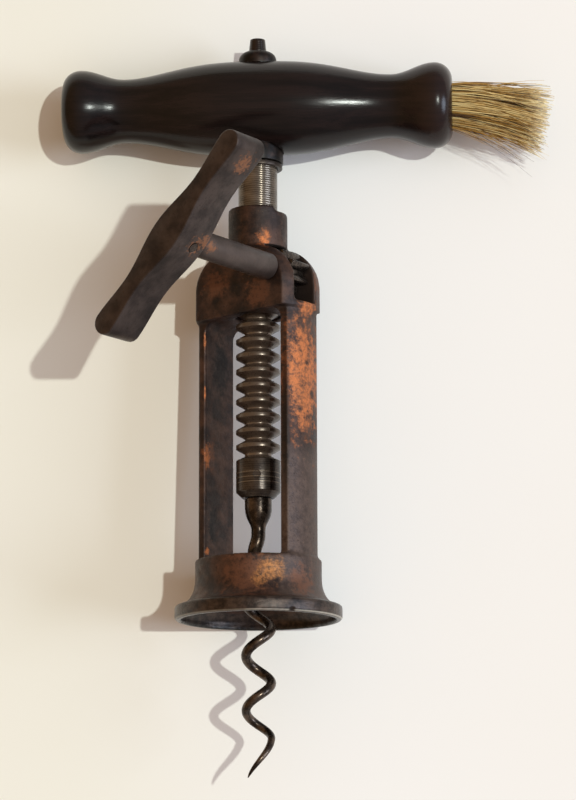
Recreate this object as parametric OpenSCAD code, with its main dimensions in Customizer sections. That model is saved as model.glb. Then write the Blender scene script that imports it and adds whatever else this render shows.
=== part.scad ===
// Rack corkscrew: a bell frame with two pillars, a ring rack on a worm spindle,
// a side crank with a pinion, and a turned T-handle with a dusting brush.
// The tool lies on its side: +Y runs up the tool to the handle, +X along the handle
// to the brush, +Z up. The origin is the middle of the bell's mouth.

/* [Frame] */
// Angle between the frame's side and the handle as the tool lies
frame_turn = 31; // [0:1:60]
// Bore at the mouth of the bell
mouth_d = 40; // [36:0.5:44]
// Wall of the bell at its rim
rim_wall = 1.7; // [1.4:0.1:2.6]
// Height of the rim band
rim_h = 3.8; // [2.6:0.1:4.6]
// Outside diameter of the bell above its flare
bell_d = 32.8; // [32.2:0.1:34]
// Height of the bell
bell_h = 15.5; // [13.5:0.5:20]
// Height at which the flare meets the upper bell
flare_h = 10.5; // [8.5:0.5:12]
// Bore of the bell's throat, which a cork passes
throat_d = 25; // [23:0.5:26]
// Height of the straight seat inside the mouth
lip_h = 2; // [1:0.5:2.5]
// Height at which the throat starts inside the bell
throat_h = 10; // [8:0.5:11.5]
// Height of the window between the bell and the gear head
window_h = 64.8; // [60:0.2:72]
// Clear width between the two pillars
pillar_gap = 24; // [22:0.2:25]
// Thickness of a pillar at its middle
pillar_wall = 3.8; // [2.8:0.1:4]
// Distance from the axis to the front of a pillar
pillar_front = 7.2; // [5:0.1:8.4]
// Distance from the axis to the back of a pillar
pillar_back = 6; // [5:0.1:7]
// Fillet between a pillar and the gear head
pillar_fillet = 3; // [1:0.5:4]

/* [Gear head] */
// Diameter of the gear head
head_d = 32.8; // [32.2:0.1:36]
// Height of the gear head below its shoulders
head_straight = 6.6; // [4:0.2:9]
// Fall of the gear head's underside from the right pillar to the left one
head_slant = 1.3; // [0:0.1:2]
// Radius of the gear head's round shoulders
shoulder_r = 11.2; // [10:0.2:13]
// Distance from the axis to the flat front of the gear head
head_front = 9; // [8.4:0.1:11]
// Distance from the axis to the flat back of the gear head
head_back = 7.3; // [6.4:0.1:9]
// Outside diameter of the guide collar
collar_d = 15.6; // [14.4:0.1:18]
// Height of the guide collar above the gear head
collar_h = 10.7; // [7:0.1:14]
// Depth of the step in the collar's rim on the crank's right
collar_step = 1.2; // [0.4:0.1:3]
// Width of the pinion's slot from front to back
slot_w = 8.2; // [7.9:0.1:9]
// Distance of the slot's middle in front of the axis
slot_offset = 1.2; // [0:0.1:1.6]
// Depth of the slot below the pinion's axis
slot_below = 8.6; // [7:0.1:9]
// Height of the slot above the pinion's axis
slot_above = 7.2; // [6.6:0.1:7.4]

/* [Rack and pinion] */
// Diameter over the rings of the rack
ring_d = 11.6; // [10.8:0.1:12.2]
// Distance from one ring to the next
ring_pitch = 4; // [3.8:0.05:4.2]
// Number of rings
ring_count = 16; // [13:1:16]
// Height of a ring outside the pitch line
ring_addendum = 0.9; // [0.7:0.05:0.95]
// Depth of a groove inside the pitch line
ring_dedendum = 1.4; // [1.25:0.05:1.5]
// Number of pinion teeth
pinion_teeth = 7; // [6:1:8]
// Height of a pinion tooth outside its pitch circle
pinion_addendum = 1.05; // [0.8:0.05:1.1]
// Depth of a pinion tooth inside its pitch circle
pinion_dedendum = 1.22; // [1.1:0.02:1.3]
// Width of the pinion's teeth
pinion_face = 7.5; // [6:0.1:7.6]
// Height of the pinion's axis above the underside of the gear head
pinion_rise = 10.5; // [9.4:0.1:11]
// Play along the pitch line between rack and pinion
backlash = 0.14; // [0.1:0.01:0.25]
// Angle of the tooth flanks
flank_angle = 30; // [26:1:32]

/* [Spindle] */
// Diameter of the bright shank above the rack
shank_d = 10.3; // [9.6:0.1:11]
// Height of the spindle's lower end above the bell's mouth as the tool lies
spindle_low = 31.9; // [28:0.1:36]
// Length of the plain socket end below the rack
socket_len = 8.2; // [7:0.2:9]
// Chamfer at the spindle's lower end
socket_chamfer = 1.6; // [0.6:0.1:2]
// Distance from the socket end to the middle of the first ring
first_ring = 3.6; // [3:0.1:4]
// Width of the square tang inside the handle
tang_w = 5.4; // [4.8:0.1:6]
// Length of the square tang
tang_len = 16; // [10:0.5:18]
// Diameter of the stud at the top of the tang
stud_d = 4.7; // [4:0.1:4.8]
// Diameter of the stud's top
stud_top_d = 4; // [3:0.1:4.4]
// Height of the stud above its washer
stud_h = 3.5; // [2:0.1:5]
// Travel of the loose washer down to the collar
stop_travel = 11.3; // [9:0.1:12]
// Diameter of the loose washer
washer_d = 13; // [12:0.1:13.4]
// Thickness of the loose washer
washer_t = 1.2; // [0.8:0.1:2]

/* [Worm] */
// Diameter over the worm
worm_d = 9.1; // [8:0.1:10]
// Thickness of the worm's wire
wire_d = 2.6; // [2.2:0.1:3.2]
// Thickness of the wire where it leaves the neck
wire_top_d = 3.7; // [3:0.1:4]
// Distance from one turn of the worm to the next
worm_pitch = 14.1; // [12:0.1:16]
// Distance of the worm's point below the bell's mouth
worm_reach = 40.5; // [34:0.5:44]
// Diameter of the worm's neck under the spindle
neck_d = 7.1; // [6.4:0.1:7.6]
// Length of the worm's neck
neck_len = 8.2; // [6:0.2:9]
// Diameter of the plug in the spindle's socket
plug_d = 5; // [4:0.1:5.4]
// Length of the plug
plug_len = 8; // [5:0.5:9]
// Diameter of the pin through the plug
worm_pin_d = 1.8; // [1.2:0.1:2]

/* [Handle] */
// Length of the wooden handle
handle_len = 103.4; // [94:0.2:110]
// Diameter at the handle's middle
belly_d = 25.2; // [22:0.1:27]
// Diameter at the handle's two necks
grip_neck_d = 16.9; // [15:0.1:19]
// Distance from the middle to a neck
grip_neck_at = 35.5; // [32:0.5:38]
// Diameter of the bulb at the brush end
bulb_d = 22.8; // [20:0.1:24]
// Diameter of the bulb at the plain end
plain_bulb_d = 22.1; // [20:0.1:24]
// Distance from the middle to the widest part of a bulb
bulb_at = 47; // [44:0.2:49]
// Diameter of the flat at each end
end_flat_d = 13.6; // [13:0.1:15]
// Diameter of the ferrule
ferrule_d = 13.5; // [13:0.1:15]
// Height of the ferrule
ferrule_h = 4.7; // [3.5:0.1:6]
// Diameter of the domed washer
dome_d = 10; // [8:0.1:12]
// Height of the domed washer
dome_h = 3.9; // [2.6:0.1:5]
// Height of the domed washer's straight edge
dome_edge = 1.7; // [1:0.1:2.4]

/* [Brush] */
// Diameter of the tuft at its root
tuft_d = 10.6; // [8:0.1:11]
// Length of the bristles outside the handle
bristle_out = 27; // [20:0.5:32]
// Depth of the tuft's root inside the handle
tuft_depth = 5.5; // [4:0.5:8]
// Thickness of the slice that the bristles grow from
slice_t = 1; // [0.6:0.1:2]
// Thickness of the band round the roots
band_t = 0.55; // [0.3:0.05:0.7]
// Length of the band
band_len = 3; // [2:0.5:4]
// Depth of the pitch behind the tuft
pitch_depth = 6; // [3:0.5:8]
// Rows of bristles from the middle of the tuft outwards
bristle_rows = 8; // [5:1:8]
// How far the tuft hangs towards the bell at its tips
tuft_droop = 6; // [0:0.5:7]
// How far the tuft sinks towards the table at its tips
tuft_sag = 2.5; // [0:0.5:4]
// Spread of the tips along the tool, as a multiple of the root
fan_along = 1.9; // [1:0.05:2]
// Spread of the tips towards the table, as a multiple of the root
fan_down = 1.35; // [1:0.05:1.6]

/* [Crank] */
// Diameter of the arbor between the gear head and the crank
arbor_d = 7; // [5.4:0.1:7.4]
// Free length of the arbor
arbor_free = 32.7; // [28:0.1:40]
// Diameter of the arbor's front journal and of its spigot in the crank
journal_d = 5; // [4:0.1:5.2]
// Diameter of the arbor through the pinion and the back cheek
tail_d = 3.6; // [3:0.1:3.8]
// Length of the arbor's tail behind the gear head
tail_out = 0.8; // [0.2:0.1:2]
// Length of the spigot inside the crank
spigot_len = 9; // [6:0.5:10]
// Diameter of the pin through the pinion
pinion_pin_d = 1.2; // [0.8:0.1:1.4]
// Length of the crank from end to end
crank_len = 62; // [50:0.5:62]
// Depth of the crank along the arbor
crank_depth = 11.6; // [9:0.1:13]
// Width of the crank at its hub
crank_hub_w = 8.6; // [8:0.1:11]
// Width of the crank at its waists
crank_waist_w = 4.7; // [3.6:0.1:5]
// Width of the crank at its round ends
crank_end_w = 6.2; // [5:0.1:8]
// Distance from the hub to a waist
crank_waist_at = 16; // [12:0.5:18]
// Angle of the crank from the tool's axis as the tool lies
crank_angle = 43; // [30:1:55]
// Diameter of the pin through the crank
crank_pin_d = 2.6; // [1.6:0.1:3]
// Distance of the crank's pin from the back of the crank
crank_pin_at = 4; // [2.5:0.1:6]

/* [Fits] */
// Clearance of the rack in its bore
bore_gap = 0.1; // [0.06:0.01:0.15]
// Clearance of the arbor in its holes
journal_gap = 0.06; // [0.04:0.01:0.1]
// Clearance of pressed and pinned pieces
seat_gap = 0.04; // [0.02:0.01:0.06]
// Clearance between faces that turn on each other
face_gap = 0.25; // [0.15:0.05:0.4]

/* [Hidden] */
$fn = 72;

// Cuts run this far past the faces that they open
past = 1;
// Radius of the rim's rounded edges
rim_edge = 0.6;
// Depth of the collar's step towards the axis, and how far it starts in front
step_in = 1.8;
step_front = 2.6;

// Heights above the bell's mouth, from the bell up to the stud
mouth_r = mouth_d / 2;
rim_r = mouth_r + rim_wall;
head_low = bell_h + window_h;
head_high = head_low + head_straight + shoulder_r;
collar_high = head_high + collar_h;
washer_low = collar_high + stop_travel;
ferrule_low = washer_low + washer_t + face_gap;
ferrule_high = ferrule_low + ferrule_h;
handle_axis = ferrule_high + chord_height(belly_d / 2, ferrule_d / 2);
dome_low = handle_axis + chord_height(belly_d / 2, dome_d / 2);
stud_high = dome_low + dome_h + stud_h;
pillar_r = pillar_gap / 2 + pillar_wall;

// Rack and pinion
ring_r = ring_d / 2;
bore_r = ring_r + bore_gap;
rack_pitch_r = ring_r - ring_addendum;
rack_root_r = rack_pitch_r - ring_dedendum;
pinion_pitch_r = pinion_teeth * ring_pitch / (2 * PI);
pinion_x = rack_pitch_r + pinion_pitch_r;
pinion_z = head_low + pinion_rise;
pinion_tip_r = pinion_pitch_r + pinion_addendum;
pinion_root_r = pinion_pitch_r - pinion_dedendum;
pinion_base_r = pinion_pitch_r * cos(flank_angle);
socket_high = spindle_low + socket_chamfer + socket_len;
ring_first_z = socket_high + first_ring;
ring_last_z = ring_first_z + (ring_count - 1) * ring_pitch;
tooth_step = 360 / pinion_teeth;
// Turn of the pinion that brings a tooth space onto a ring
mesh_turn = 180 - (ring_first_z - pinion_z) / pinion_pitch_r * 180 / PI;

// Distances in front of the tool's axis, along the arbor
slot_near = slot_offset - slot_w / 2;
slot_far = slot_offset + slot_w / 2;
pinion_near = slot_offset - pinion_face / 2;
crank_back = head_front + face_gap + arbor_free;

// Brush
handle_end = handle_len / 2;
tuft_r = tuft_d / 2;
brush_hole_r = tuft_r + band_t + 2 * seat_gap;
slice_x = handle_end - tuft_depth;

// Half the width of a chord's circle measured along the axis: height of a flat seat of radius s in a bar of radius r
function chord_height(r, s) = sqrt(r * r - s * s);
// Points of an elliptical arc from angle a to angle b
function arc(x, y, rx, ry, a, b, steps = 10) =
    [for (i = [0:steps]) let (t = a + (b - a) * i / steps) [x + rx * cos(t), y + ry * sin(t)]];
// Smooth step from 0 to 1
function ease(t) = (1 - cos(180 * min(max(t, 0), 1))) / 2;
function mix(a, b, t) = a + (b - a) * t;
function unit(v) = v / norm(v);
// Repeatable scatter between -1 and 1
function scatter(i, k) =
    let (s = sin(i * 127.1 + k * 311.7) * 437.585) 2 * (s - floor(s)) - 1;

// Lays the upright tool on its side
module lay() rotate([-90, 0, 0]) children();
// Turns the frame and the crank about the tool's axis
module turned() rotate([0, 0, -frame_turn]) children();
// Stands a flat outline upright, starting a distance in front of the axis and growing forwards
module facing(front, x = 0, z = 0) translate([x, -front, z]) rotate([90, 0, 0]) children();
// Round bar along the arbor from one distance in front of the axis to another
module arbor_bar(d, near, far) facing(near, pinion_x, pinion_z) cylinder(d = d, h = far - near);

// The bell in section
function bell_outline() = concat(
    [[mouth_r, 0]],
    arc(rim_r - rim_edge, rim_edge, rim_edge, rim_edge, -90, 0, 4),
    arc(rim_r - rim_edge, rim_h - rim_edge, rim_edge, rim_edge, 0, 90, 4),
    arc(rim_r - rim_edge - past / 4, flare_h, rim_r - rim_edge - past / 4 - bell_d / 2, flare_h - rim_h, 270, 180),
    [[bell_d / 2, bell_h], [throat_d / 2, bell_h], [throat_d / 2, throat_h], [mouth_r, lip_h]]
);

// Height of the gear head's underside at a distance to the right of the axis
function underside(x) = head_low - head_slant * (pillar_gap / 2 - x) / pillar_gap;

// The gear head in section, from the axis out to its round shoulder
function head_outline() = concat(
    [[0, head_low - 2 * head_slant - past], [head_d / 2, head_low - 2 * head_slant - past]],
    arc(head_d / 2 - shoulder_r, head_low + head_straight, shoulder_r, shoulder_r, 0, 90, 12),
    [[0, head_high]]
);

module pillars() intersection() {
    translate([0, 0, bell_h - past]) cylinder(r = pillar_r, h = window_h + 2 * past);
    for (side = [0, 1]) mirror([side, 0, 0]) translate([pillar_gap / 2, -pillar_front, bell_h - past])
        cube([2 * pillar_wall, pillar_front + pillar_back, window_h + 2 * past]);
}

// The two round corners at the top of the window
module window_fillets() for (side = [1, -1]) let (top = underside(side * pillar_gap / 2))
    mirror([side > 0 ? 0 : 1, 0, 0]) difference() {
        translate([pillar_gap / 2 - pillar_fillet, -pillar_front, top - pillar_fillet])
            cube([pillar_fillet + pillar_wall / 4, pillar_front + pillar_back, pillar_fillet + past]);
        facing(-pillar_back - past, pillar_gap / 2 - pillar_fillet, top - pillar_fillet)
            cylinder(r = pillar_fillet, h = pillar_front + pillar_back + 2 * past);
    }

module gear_head() intersection() {
    rotate_extrude() polygon(head_outline());
    facing(-head_back) linear_extrude(head_front + head_back) polygon([
        [-head_d, underside(-head_d)], [head_d, underside(head_d)], [head_d, head_high], [-head_d, head_high]
    ]);
}

// Everything that is cut out of the frame: bore, pinion slot, arbor holes and the collar's step
module frame_cuts() {
    translate([0, 0, head_low - 2 * past]) cylinder(r = bore_r, h = collar_high - head_low + 3 * past);
    translate([0, -slot_far, pinion_z - slot_below]) cube([head_d, slot_w, slot_below + slot_above]);
    arbor_bar(journal_d + 2 * journal_gap, slot_offset, head_front + past);
    arbor_bar(tail_d + 2 * journal_gap, -head_back - past, slot_offset);
    translate([bore_r - step_in, -step_front, collar_high - collar_step])
        cube([collar_d, step_front + collar_d, collar_step + past]);
}

module frame() color("#6b4630") lay() turned() difference() {
    union() {
        rotate_extrude() polygon(bell_outline());
        pillars();
        window_fillets();
        gear_head();
        translate([0, 0, head_high - past]) cylinder(d = collar_d, h = collar_h + past);
    }
    frame_cuts();
}

// One side of the rack in section: each ring has straight flanks down to the groove
function ring_half(r) = ring_pitch / 4 + (rack_pitch_r - r) * tan(flank_angle);
function rack_side() = [for (i = [0:ring_count - 1]) let (z = ring_first_z + i * ring_pitch) each [
    [rack_root_r, z - ring_half(rack_root_r)],
    [ring_r, z - ring_half(ring_r)],
    [ring_r, z + ring_half(ring_r)],
    [rack_root_r, z + ring_half(rack_root_r)]
]];

function spindle_outline() = concat(
    [[0, spindle_low], [ring_r - socket_chamfer, spindle_low], [ring_r, spindle_low + socket_chamfer]],
    [[ring_r, socket_high], [rack_root_r, socket_high + (ring_r - rack_root_r) / 2]],
    rack_side(),
    [[rack_root_r, ring_last_z + ring_pitch / 2], [shank_d / 2, ring_last_z + ring_pitch / 2]],
    [[shank_d / 2, ferrule_high], [0, ferrule_high]]
);

// The square tang and the round stud that carries the domed washer
module tang(gap) {
    translate([0, 0, ferrule_high + tang_len / 2 - past / 2])
        cube([tang_w + 2 * gap, tang_w + 2 * gap, tang_len + past], center = true);
    rotate_extrude() polygon([
        [0, ferrule_high], [stud_d / 2 + gap, ferrule_high], [stud_d / 2 + gap, dome_low + dome_h],
        [stud_top_d / 2 + gap, stud_high], [0, stud_high]
    ]);
}

module rack_spindle() color("#8d867b") lay() difference() {
    union() {
        rotate_extrude() polygon(spindle_outline());
        tang(0);
    }
    translate([0, 0, spindle_low - past]) cylinder(d = plug_d + 2 * seat_gap, h = plug_len + seat_gap + past);
    worm_pin_bar(worm_pin_d + 2 * seat_gap, ring_d + past);
}

// Cross bar through the middle of the plug
module worm_pin_bar(d, h) translate([0, 0, spindle_low + socket_chamfer + plug_len / 2])
    rotate([90, 0, 0]) cylinder(d = d, h = h, center = true);

module worm_pin() color("#6f6a62") lay() worm_pin_bar(worm_pin_d, 2 * chord_height(ring_r, worm_pin_d / 2));

// The worm: a wire that leaves the neck on the axis and winds into a right-hand helix
worm_sides = 10;
worm_rings_per_turn = 24;
worm_start = spindle_low - neck_len;
// Height of a right-hand extreme of the helix, and where the last, stretched part turn starts
worm_phase_z = -2.2;
worm_last_z = worm_phase_z - 2 * worm_pitch;
worm_last_turn = 145;
ramp_len = 14;
function worm_turn(z) = z > worm_last_z
    ? 360 * (worm_phase_z - z) / worm_pitch
    : 720 + worm_last_turn * (worm_last_z - z) / (worm_last_z + worm_reach);
function worm_wire(z) = z > 0
    ? mix(wire_top_d, wire_d, ease((worm_start - z) / worm_start)) / 2
    : wire_d / 2 * sqrt(max(1 - pow(-z / worm_reach, 3), 0.004));
function worm_path(z) = let (r = (worm_d - wire_d) / 2 * ease((worm_start - z) / ramp_len), a = worm_turn(z))
    [r * cos(a), -r * sin(a), z];
worm_steps = ceil((worm_start + worm_reach) / worm_pitch * worm_rings_per_turn);
// Plug, neck and wire as centre points with radii, from the socket down to the point
worm_stations = concat(
    [[[0, 0, spindle_low + plug_len], plug_d / 2], [[0, 0, spindle_low + seat_gap], plug_d / 2]],
    [for (t = [0:0.25:1]) [
        [0, 0, spindle_low - face_gap - (neck_len - face_gap) * 0.96 * t],
        mix(neck_d, wire_top_d, ease(t * t)) / 2
    ]],
    [for (i = [1:worm_steps]) let (z = worm_start - (worm_start + worm_reach) * i / worm_steps)
        [worm_path(z), worm_wire(z)]]
);
worm_count = len(worm_stations);
function worm_tangent(i) =
    unit(worm_stations[min(i + 1, worm_count - 1)][0] - worm_stations[max(i - 1, 0)][0]);
function tube_ring(c, r, t, sides) = let (u = unit(cross(t, [1, 0, 0])), v = cross(t, u))
    [for (k = [0:sides - 1]) c + r * (cos(360 * k / sides) * u + sin(360 * k / sides) * v)];
function tube_points(sides) =
    [for (i = [0:worm_count - 1])
        each tube_ring(worm_stations[i][0], worm_stations[i][1], worm_tangent(i), sides)];
function tube_faces(rings, sides) = concat(
    [for (i = [0:rings - 2], k = [0:sides - 1])
        let (a = i * sides + k, b = i * sides + (k + 1) % sides) each [[a, a + sides, b], [b, a + sides, b + sides]]],
    [for (k = [1:sides - 2]) [0, k, k + 1]],
    [for (k = [1:sides - 2]) let (o = (rings - 1) * sides) [o, o + k + 1, o + k]]
);

module worm() color("#4a4640") lay() difference() {
    polyhedron(points = tube_points(worm_sides), faces = tube_faces(worm_count, worm_sides));
    worm_pin_bar(worm_pin_d + 2 * seat_gap, ring_d);
}

module thrust_washer() color("#3d3833") lay() translate([0, 0, washer_low]) difference() {
    cylinder(d = washer_d, h = washer_t);
    translate([0, 0, -past]) cylinder(d = shank_d + 2 * bore_gap, h = washer_t + 2 * past);
}

module ferrule() color("#3a352f") lay() difference() {
    translate([0, 0, ferrule_low]) cylinder(d = ferrule_d, h = ferrule_h);
    translate([0, 0, ferrule_low - past]) cylinder(d = shank_d + 2 * seat_gap, h = ferrule_h + 2 * past);
}

// Radius of the handle at a distance from its middle: full belly, neck, bulb and rounded end
function belly_share(x) = pow(cos(90 * pow(min(x / grip_neck_at, 1), 1.5)), 2);
function bulb_share(x) = pow(sin(90 * (x - grip_neck_at) / (bulb_at - grip_neck_at)), 2);
function end_share(x) = sqrt(max(1 - pow((x - bulb_at) / (handle_end - bulb_at), 2), 0));
function grip_r(x, bulb) =
    x <= grip_neck_at ? mix(grip_neck_d, belly_d, belly_share(x)) / 2
    : x <= bulb_at ? mix(grip_neck_d, bulb, bulb_share(x)) / 2
    : mix(end_flat_d, bulb, end_share(x)) / 2;
grip_steps = 18;
bulb_steps = 8;
end_steps = 8;
grip_stops = concat(
    [for (i = [0:grip_steps]) grip_neck_at * i / grip_steps],
    [for (i = [1:bulb_steps]) mix(grip_neck_at, bulb_at, i / bulb_steps)],
    [for (i = [1:end_steps]) mix(bulb_at, handle_end, sin(90 * i / end_steps))]
);
function handle_outline() = concat(
    [[0, -handle_end]],
    [for (i = [len(grip_stops) - 1:-1:1]) [grip_r(grip_stops[i], plain_bulb_d), -grip_stops[i]]],
    [for (x = grip_stops) [grip_r(x, bulb_d), x]],
    [[0, handle_end]]
);

module handle() color("#2c1a14") lay() difference() {
    translate([0, 0, handle_axis]) rotate([0, 90, 0]) rotate_extrude() polygon(handle_outline());
    tang(seat_gap);
    translate([0, 0, handle_axis - belly_d]) cylinder(
        d = ferrule_d + 2 * seat_gap, h = ferrule_high - handle_axis + belly_d);
    translate([0, 0, dome_low]) cylinder(d = dome_d + 2 * seat_gap, h = belly_d);
    translate([slice_x - slice_t - pitch_depth, 0, handle_axis]) rotate([0, 90, 0])
        cylinder(r = brush_hole_r, h = pitch_depth + slice_t + tuft_depth + past);
}

function dome_outline() = concat(
    [[stud_d / 2 + seat_gap, 0], [dome_d / 2, 0]],
    arc(stud_d / 2 + seat_gap, dome_edge, dome_d / 2 - stud_d / 2 - seat_gap, dome_h - dome_edge, 0, 90, 8)
);

module top_washer() color("#2e2823") lay() translate([0, 0, dome_low])
    rotate_extrude() polygon(dome_outline());

// Round bar along the handle at the brush end
module brush_bar(r, x, len) translate([x, 0, handle_axis]) rotate([0, 90, 0]) cylinder(r = r, h = len);

module pitch_plug() color("#1c1512") lay()
    brush_bar(brush_hole_r - seat_gap, slice_x - slice_t - pitch_depth, pitch_depth);

module tuft_binding() color("#8a7550") lay() difference() {
    brush_bar(brush_hole_r - seat_gap, slice_x - slice_t, band_len);
    brush_bar(tuft_r + seat_gap, slice_x - slice_t - past, band_len + 2 * past);
}

// The tuft: bristles of three sides that grow from the cells of one round slice
bristle_stops = [0.4, 0.75, 1];
bristle_share = 0.45;
bristle_taper = [1, 0.85, 0.6];
bristle_scatter = 0.45;
shortest_bristle = 0.86;
bristle_run = tuft_depth + bristle_out;
// Vertices of the slice in rings about its middle, on a unit disc
disc_points = concat([[0, 0]], [for (i = [1:bristle_rows], j = [0:6 * i - 1])
    let (a = 60 * j / i) i / bristle_rows * [cos(a), sin(a)]]);
function disc_index(i, j) = i == 0 ? 0 : 1 + 3 * i * (i - 1) + j % (6 * i);
disc_cells = [for (i = [1:bristle_rows], k = [0:5]) each concat(
    [for (m = [0:i - 1]) [disc_index(i, k * i + m), disc_index(i, k * i + m + 1), disc_index(i - 1, k * (i - 1) + m)]],
    i < 2 ? [] : [for (m = [0:i - 2]) [
        disc_index(i, k * i + m + 1), disc_index(i - 1, k * (i - 1) + m + 1), disc_index(i - 1, k * (i - 1) + m)
    ]]
)];
disc_count = len(disc_points);
cell_count = len(disc_cells);
rim_count = 6 * bristle_rows;
// Place of a slice point carried a share s of the way out along the bristles
function carried(p, s) = [
    slice_x + bristle_run * s,
    -tuft_r * p[1] * mix(1, fan_down, s * s) + tuft_sag * s * s,
    handle_axis + tuft_r * p[0] * mix(1, fan_along, s * s) - tuft_droop * s * s
];
// The three edges of bristle c at stop q: a small triangle about the cell's middle
function bristle_ring(c, q) =
    let (cell = disc_cells[c], mid = (disc_points[cell[0]] + disc_points[cell[1]] + disc_points[cell[2]]) / 3)
    let (s = q < 0 ? 0 : bristle_stops[q] * mix(shortest_bristle, 1, abs(scatter(c, 3))))
    let (off = s * bristle_scatter * tuft_r / bristle_rows * [0, scatter(c, 1), scatter(c, 2)], size = q < 0 ? 1 : bristle_taper[q])
    [for (v = cell) let (base = bristle_share * size * (disc_points[v] - mid))
        carried(mid, s) + off + tuft_r * [0, -base[1], base[0]]];
function bristle_points(c) = concat(bristle_ring(c, -1), bristle_ring(c, 0), bristle_ring(c, 1),
    [let (t = bristle_ring(c, 2)) (t[0] + t[1] + t[2]) / 3]);
points_per_bristle = 10;
slice_back = disc_count + cell_count * points_per_bristle;
function bristle_faces(c) =
    let (o = disc_count + c * points_per_bristle, cell = disc_cells[c])
    [for (k = [0:2]) let (n = (k + 1) % 3) each [
        [cell[k], cell[n], o + n], [cell[k], o + n, o + k],
        [o + k, o + n, o + 3 + n], [o + k, o + 3 + n, o + 3 + k],
        [o + 3 + k, o + 3 + n, o + 6 + n], [o + 3 + k, o + 6 + n, o + 6 + k],
        [o + 6 + k, o + 6 + n, o + 9]
    ]];
tuft_points = concat(
    [for (p = disc_points) carried(p, 0)],
    [for (c = [0:cell_count - 1]) each bristle_points(c)],
    [for (j = [0:rim_count - 1]) carried(disc_points[disc_index(bristle_rows, j)], 0) - [slice_t, 0, 0]],
    [[slice_x - slice_t, 0, handle_axis]]
);
tuft_faces = concat(
    [for (c = [0:cell_count - 1]) each bristle_faces(c)],
    [for (j = [0:rim_count - 1])
        let (n = (j + 1) % rim_count, a = disc_index(bristle_rows, j), b = disc_index(bristle_rows, j + 1)) each [
            [slice_back + j, slice_back + n, b], [slice_back + j, b, a],
            [slice_back + rim_count, slice_back + n, slice_back + j]
        ]]
);

module bristle_tuft() color("#c9a868") lay()
    polyhedron(points = tuft_points, faces = [for (f = tuft_faces) [f[2], f[1], f[0]]]);

module crank_arbor() color("#4b403a") lay() turned() difference() {
    union() {
        arbor_bar(tail_d, -head_back - tail_out, slot_far);
        arbor_bar(journal_d, slot_far - journal_gap, crank_back + spigot_len);
        arbor_bar(arbor_d, head_front + face_gap, crank_back);
    }
    pinion_pin_bar(pinion_pin_d + 2 * seat_gap, arbor_d);
    crank_pin_bar(crank_pin_d + 2 * seat_gap, arbor_d);
}

// Half the angle of a pinion tooth at radius r, by the involute of its base circle
function involute(a) = tan(a) * 180 / PI - a;
pitch_half_angle = (ring_pitch / 2 - backlash) / (2 * pinion_pitch_r) * 180 / PI;
function tooth_half_angle(r) = pitch_half_angle + involute(flank_angle)
    - (r > pinion_base_r ? involute(acos(pinion_base_r / r)) : 0);
flank_steps = 6;
flank_radii = concat([pinion_root_r],
    [for (i = [0:flank_steps]) mix(pinion_base_r, pinion_tip_r, i / flank_steps)]);
function polar(r, a) = [r * cos(a), r * sin(a)];
function pinion_outline() = [for (k = [0:pinion_teeth - 1])
    let (mid = mesh_turn + (k + 0.5) * tooth_step) each concat(
        [for (i = [0:len(flank_radii) - 1]) polar(flank_radii[i], mid - tooth_half_angle(flank_radii[i]))],
        [for (i = [len(flank_radii) - 1:-1:0]) polar(flank_radii[i], mid + tooth_half_angle(flank_radii[i]))]
    )];

// Bar through the pinion from one tooth space to the opposite side
module pinion_pin_bar(d, h) translate([pinion_x, -slot_offset, pinion_z])
    rotate([0, 90 - mesh_turn, 0]) cylinder(d = d, h = h, center = true);

module pinion() color("#57534c") lay() turned() difference() {
    facing(pinion_near, pinion_x, pinion_z) linear_extrude(pinion_face) polygon(pinion_outline());
    arbor_bar(tail_d + 2 * seat_gap, pinion_near - past, pinion_near + pinion_face + past);
    pinion_pin_bar(pinion_pin_d + 2 * seat_gap, 2 * pinion_tip_r);
}

pinion_pin_len = 2 * pinion_root_r * cos(180 / pinion_teeth - tooth_half_angle(pinion_root_r)) - 2 * seat_gap;
module pinion_pin() color("#6f6a62") lay() turned() pinion_pin_bar(pinion_pin_d, pinion_pin_len);

// Half the width of the crank at a distance from its hub
crank_end_at = crank_len / 2 - crank_end_w / 2;
function crank_half(x) = x < crank_waist_at
    ? mix(crank_hub_w, crank_waist_w, ease(x / crank_waist_at)) / 2
    : mix(crank_waist_w, crank_end_w, ease((x - crank_waist_at) / (crank_end_at - crank_waist_at))) / 2;
crank_steps = 16;
function crank_edge() = [for (i = [-crank_steps:crank_steps])
    let (x = crank_end_at * i / crank_steps) [x, crank_half(abs(x))]];
function crank_outline() = concat(
    crank_edge(),
    arc(crank_end_at, 0, crank_end_w / 2, crank_end_w / 2, 78, -78, 8),
    -crank_edge(),
    arc(-crank_end_at, 0, crank_end_w / 2, crank_end_w / 2, 258, 102, 8)
);

// Bar across the hub of the crank
module crank_pin_bar(d, h) translate([pinion_x, -crank_back - crank_pin_at, pinion_z])
    rotate([0, 90 + crank_angle, 0]) cylinder(d = d, h = h, center = true);

module crank_lever() color("#4d4440") lay() turned() difference() {
    facing(crank_back, pinion_x, pinion_z) linear_extrude(crank_depth)
        rotate(90 - crank_angle) polygon(crank_outline());
    arbor_bar(journal_d + 2 * seat_gap, crank_back - past, crank_back + spigot_len + seat_gap);
    crank_pin_bar(crank_pin_d + 2 * seat_gap, 2 * crank_hub_w);
}

module crank_pin() color("#7a5a44") lay() turned() crank_pin_bar(crank_pin_d, crank_hub_w);

frame();
rack_spindle();
worm();
worm_pin();
thrust_washer();
ferrule();
handle();
top_washer();
bristle_tuft();
tuft_binding();
pitch_plug();
crank_arbor();
pinion();
pinion_pin();
crank_lever();
crank_pin();
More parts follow.
